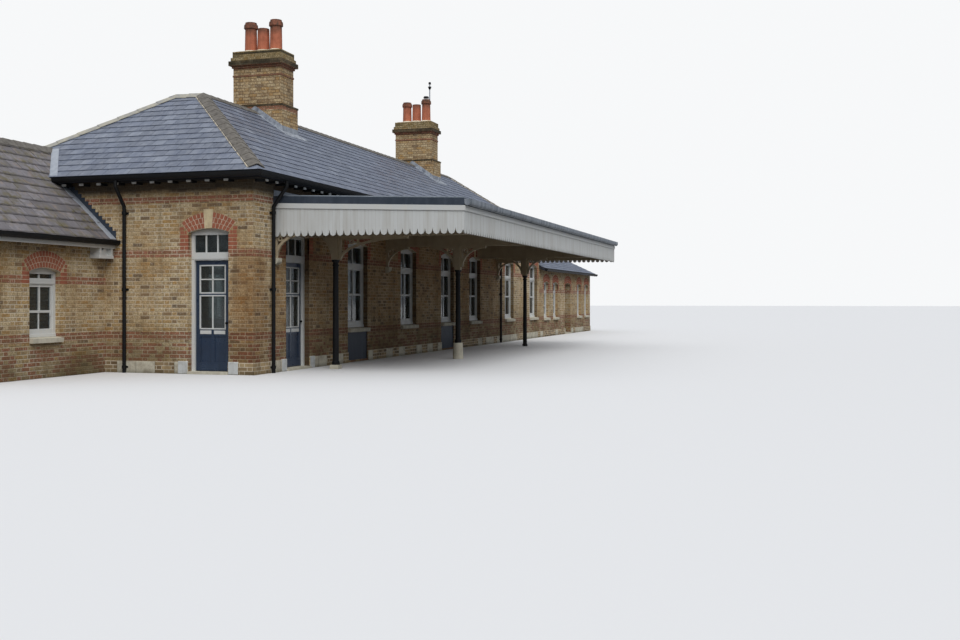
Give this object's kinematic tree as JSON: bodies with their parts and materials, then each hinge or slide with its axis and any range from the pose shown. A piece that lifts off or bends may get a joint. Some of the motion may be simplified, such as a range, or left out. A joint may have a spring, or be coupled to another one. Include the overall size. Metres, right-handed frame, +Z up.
{
  "type": "railway station building",
  "caption": "Single-storey brick station building with hipped slate roofs, tall chimneys, a low annex and a platform canopy on iron columns with a scalloped valance.",
  "frame": {"origin": "middle of the bounding box, at ground level, under the building", "axes": "+X along the platform from the annex end to the extension end, +Y from the platform side to the road side, +Z up"},
  "size_m": [38.84, 11.408, 9.5],
  "materials": {
    "apron_paint": "satin paint",
    "canopy_sheet": "matt",
    "cream_iron": "satin paint",
    "dark_paint": "satin paint",
    "door_paint": "gloss paint",
    "dressed_stone": "matt",
    "galvanised": "dull",
    "lead": "dull",
    "plain_tile": "matt, mossy",
    "quarry_floor": "matt",
    "ridge_tile": "matt",
    "rubbed_red_brick": "matt",
    "slate": "matt, weathered",
    "stock_brick": "matt, weathered",
    "terracotta": "matt",
    "white_timber": "satin paint",
    "window_glass": "clear"
  },
  "bodies": {
    "building": {"aerial_mast": "galvanised", "annex_front_slope": "plain_tile", "annex_gable_wall": "stock_brick", "annex_rear_slope": "plain_tile", "annex_side_walls": "stock_brick", "bracket_corbels": "dressed_stone", "brick_arches": "rubbed_red_brick", "canopy_columns": "dark_paint", "canopy_cross_beams": "white_timber", "canopy_deck": "canopy_sheet", "canopy_flashings": "lead", "canopy_purlins": "white_timber", "chimney_pots": "terracotta", "column_bases": "dressed_stone", "column_heads": "cream_iron", "corner_pier": "stock_brick", "door_frames": "white_timber", "door_hinges": "galvanised", "downpipes": "dark_paint", "end_valances": "white_timber", "end_wall": "stock_brick", "extension_front_slope": "slate", "extension_gable_wall": "stock_brick", "extension_rear_slope": "slate", "extension_side_walls": "stock_brick", "far_chimney": "stock_brick", "far_end_slope": "slate", "far_end_wall": "stock_brick", "front_slope": "slate", "front_valance": "white_timber", "front_wall": "stock_brick", "ground_floor": "quarry_floor", "gutters": "dark_paint", "keystones": "dressed_stone", "near_chimney": "stock_brick", "near_end_slope": "slate", "rear_slope": "slate", "rear_wall": "stock_brick", "ridge_and_hip_tiles": "ridge_tile", "spandrel_brackets": "cream_iron", "stone_plinth": "dressed_stone", "thresholds": "dressed_stone", "valance_rail": "white_timber", "walls_over_doors": "stock_brick", "window_aprons": "apron_paint", "window_frames": "white_timber", "window_glass": "window_glass", "window_sashes": "white_timber", "window_sills": "dressed_stone", "wing_inner_slope": "slate", "wing_rear_slope": "slate", "wing_rear_wall": "stock_brick", "wing_side_wall": "stock_brick"},
    "platform_door_leaf": {"platform_door": "door_paint", "platform_door_glass": "window_glass"},
    "end_door_leaf": {"end_door": "door_paint", "end_door_glass": "window_glass"}
  },
  "joints": [
    {"name": "platform_door_hinge", "type": "hinge", "parent": "building", "child": "platform_door_leaf", "pos_m": [-13.8975, -1.132, 0], "axis": [0, 0, 1], "range_deg": [0, 95]},
    {"name": "end_door_hinge", "type": "hinge", "parent": "building", "child": "end_door_leaf", "pos_m": [-15.172, 0.0675, 0], "axis": [0, 0, 1], "range_deg": [0, 95]}
  ]
}
